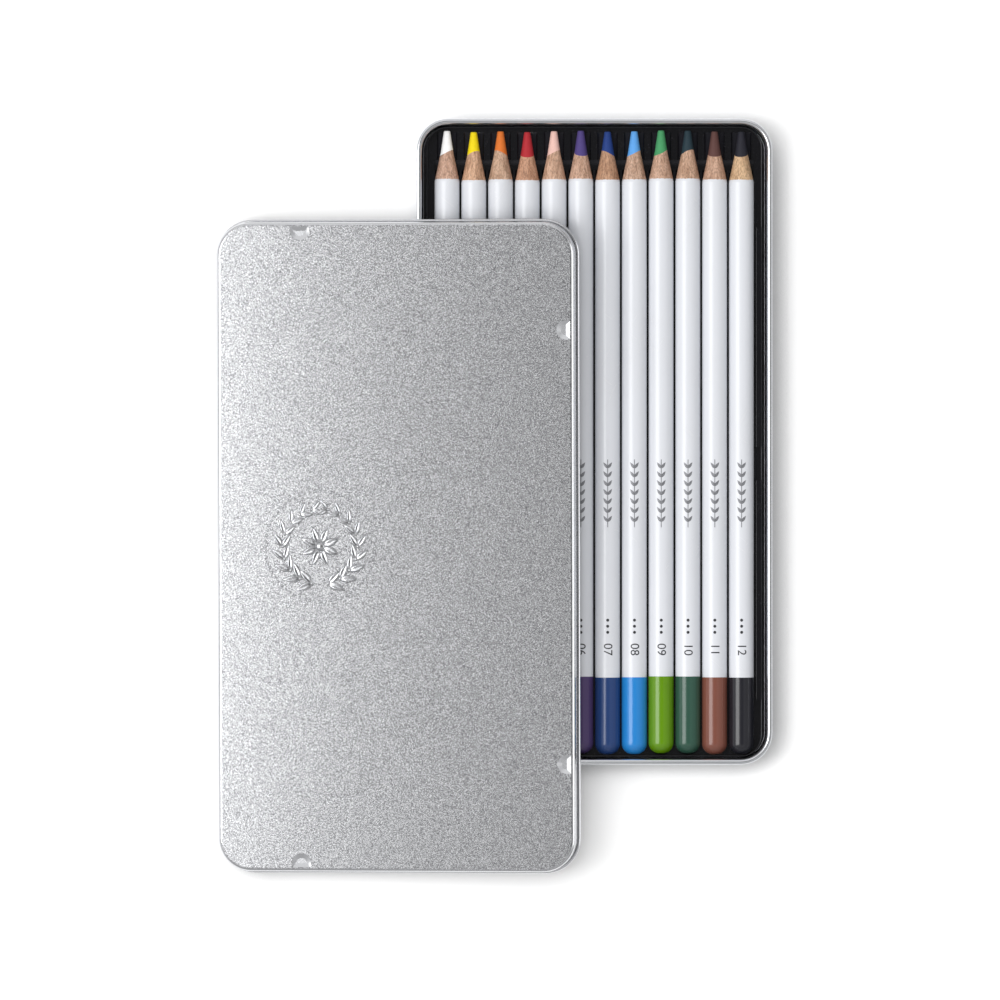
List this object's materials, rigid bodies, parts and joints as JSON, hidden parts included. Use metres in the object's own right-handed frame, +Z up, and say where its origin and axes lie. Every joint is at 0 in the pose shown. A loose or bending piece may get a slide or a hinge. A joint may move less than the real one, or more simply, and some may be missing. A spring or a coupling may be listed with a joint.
{
  "type": "colored pencil box",
  "caption": "Flat slip-lid metal pencil tin with a black formed insert and round white-lacquered colored pencils; the dimpled lid is off and leans over the open tin.",
  "frame": {"origin": "centre of the pan's flat underside", "axes": "+X across the row of pencils, +Y along the pencils towards their points, +Z up"},
  "size_m": [0.1555, 0.2113, 0.0232],
  "materials": {
    "tinplate": "satin silver with a fine sandy grain",
    "black_insert": "glossy vacuum-formed sheet",
    "bare_wood": "sharpened, bare",
    "white_lacquer": "smooth gloss lacquer",
    "white_core": "waxy pigment",
    "white_dip": "dipped gloss paint",
    "yellow_core": "waxy pigment",
    "yellow_dip": "dipped gloss paint",
    "orange_core": "waxy pigment",
    "orange_dip": "dipped gloss paint",
    "red_core": "waxy pigment",
    "red_dip": "dipped gloss paint",
    "pink_core": "waxy pigment",
    "pink_dip": "dipped gloss paint",
    "violet_core": "waxy pigment",
    "violet_dip": "dipped gloss paint",
    "dark_blue_core": "waxy pigment",
    "dark_blue_dip": "dipped gloss paint",
    "light_blue_core": "waxy pigment",
    "light_blue_dip": "dipped gloss paint",
    "green_core": "waxy pigment",
    "green_dip": "dipped gloss paint",
    "dark_green_core": "waxy pigment",
    "dark_green_dip": "dipped gloss paint",
    "brown_core": "waxy pigment",
    "brown_dip": "dipped gloss paint",
    "black_core": "waxy pigment",
    "black_dip": "dipped gloss paint"
  },
  "bodies": {
    "tin": {"tin_base": "tinplate", "insert_tray": "black_insert"},
    "lid": {"tin_lid": "tinplate"},
    "white_pencil": {"white_pencil_casing": "bare_wood", "white_pencil_core": "white_core", "white_pencil_lacquer": "white_lacquer", "white_pencil_dip": "white_dip"},
    "yellow_pencil": {"yellow_pencil_casing": "bare_wood", "yellow_pencil_core": "yellow_core", "yellow_pencil_lacquer": "white_lacquer", "yellow_pencil_dip": "yellow_dip"},
    "orange_pencil": {"orange_pencil_casing": "bare_wood", "orange_pencil_core": "orange_core", "orange_pencil_lacquer": "white_lacquer", "orange_pencil_dip": "orange_dip"},
    "red_pencil": {"red_pencil_casing": "bare_wood", "red_pencil_core": "red_core", "red_pencil_lacquer": "white_lacquer", "red_pencil_dip": "red_dip"},
    "pink_pencil": {"pink_pencil_casing": "bare_wood", "pink_pencil_core": "pink_core", "pink_pencil_lacquer": "white_lacquer", "pink_pencil_dip": "pink_dip"},
    "violet_pencil": {"violet_pencil_casing": "bare_wood", "violet_pencil_core": "violet_core", "violet_pencil_lacquer": "white_lacquer", "violet_pencil_dip": "violet_dip"},
    "dark_blue_pencil": {"dark_blue_pencil_casing": "bare_wood", "dark_blue_pencil_core": "dark_blue_core", "dark_blue_pencil_lacquer": "white_lacquer", "dark_blue_pencil_dip": "dark_blue_dip"},
    "light_blue_pencil": {"light_blue_pencil_casing": "bare_wood", "light_blue_pencil_core": "light_blue_core", "light_blue_pencil_lacquer": "white_lacquer", "light_blue_pencil_dip": "light_blue_dip"},
    "green_pencil": {"green_pencil_casing": "bare_wood", "green_pencil_core": "green_core", "green_pencil_lacquer": "white_lacquer", "green_pencil_dip": "green_dip"},
    "dark_green_pencil": {"dark_green_pencil_casing": "bare_wood", "dark_green_pencil_core": "dark_green_core", "dark_green_pencil_lacquer": "white_lacquer", "dark_green_pencil_dip": "dark_green_dip"},
    "brown_pencil": {"brown_pencil_casing": "bare_wood", "brown_pencil_core": "brown_core", "brown_pencil_lacquer": "white_lacquer", "brown_pencil_dip": "brown_dip"},
    "black_pencil": {"black_pencil_casing": "bare_wood", "black_pencil_core": "black_core", "black_pencil_lacquer": "white_lacquer", "black_pencil_dip": "black_dip"}
  },
  "joints": [
    {"name": "lid_lift", "type": "slide", "parent": "tin", "child": "lid", "axis": [0, 0, 1], "range_m": [0, 0.12]},
    {"name": "white_pencil_roll", "type": "hinge", "parent": "tin", "child": "white_pencil", "pos_m": [-0.04125, 0, 0.00445], "axis": [0, 1, 0], "continuous": true},
    {"name": "yellow_pencil_roll", "type": "hinge", "parent": "tin", "child": "yellow_pencil", "pos_m": [-0.03375, 0, 0.00445], "axis": [0, 1, 0], "continuous": true},
    {"name": "orange_pencil_roll", "type": "hinge", "parent": "tin", "child": "orange_pencil", "pos_m": [-0.02625, 0, 0.00445], "axis": [0, 1, 0], "continuous": true},
    {"name": "red_pencil_roll", "type": "hinge", "parent": "tin", "child": "red_pencil", "pos_m": [-0.01875, 0, 0.00445], "axis": [0, 1, 0], "continuous": true},
    {"name": "pink_pencil_roll", "type": "hinge", "parent": "tin", "child": "pink_pencil", "pos_m": [-0.01125, 0, 0.00445], "axis": [0, 1, 0], "continuous": true},
    {"name": "violet_pencil_roll", "type": "hinge", "parent": "tin", "child": "violet_pencil", "pos_m": [-0.00375, 0, 0.00445], "axis": [0, 1, 0], "continuous": true},
    {"name": "dark_blue_pencil_lift", "type": "slide", "parent": "tin", "child": "dark_blue_pencil", "axis": [0, 0, 1], "range_m": [0, 0.06]},
    {"name": "light_blue_pencil_lift", "type": "slide", "parent": "tin", "child": "light_blue_pencil", "axis": [0, 0, 1], "range_m": [0, 0.06]},
    {"name": "green_pencil_lift", "type": "slide", "parent": "tin", "child": "green_pencil", "axis": [0, 0, 1], "range_m": [0, 0.06]},
    {"name": "dark_green_pencil_lift", "type": "slide", "parent": "tin", "child": "dark_green_pencil", "axis": [0, 0, 1], "range_m": [0, 0.06]},
    {"name": "brown_pencil_lift", "type": "slide", "parent": "tin", "child": "brown_pencil", "axis": [0, 0, 1], "range_m": [0, 0.06]},
    {"name": "black_pencil_lift", "type": "slide", "parent": "tin", "child": "black_pencil", "axis": [0, 0, 1], "range_m": [0, 0.06]}
  ]
}
